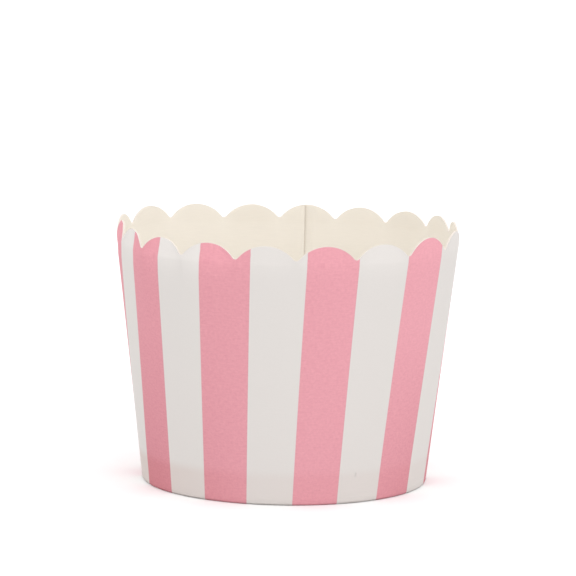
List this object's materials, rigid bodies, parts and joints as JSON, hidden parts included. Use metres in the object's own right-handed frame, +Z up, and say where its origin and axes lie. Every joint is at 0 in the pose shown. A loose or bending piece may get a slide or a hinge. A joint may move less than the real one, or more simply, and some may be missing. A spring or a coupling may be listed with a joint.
{
  "type": "paper baking cup",
  "caption": "Tapered paper baking cup with a scalloped rim, upright pink and off-white stripes, a lap seam at the back and a recessed base disc.",
  "frame": {"origin": "on the cup's axis at the foot ring's underside, where it stands on a table", "axes": "+Z up along the cup's axis to the open mouth, +Y towards the glued lap seam at the back, -Y is the front"},
  "size_m": [0.06, 0.0603, 0.045],
  "materials": {
    "striped_board": "matte",
    "base_board": "matte"
  },
  "bodies": {
    "root": {"sidewall": "striped_board", "base_disc": "base_board"}
  },
  "joints": []
}
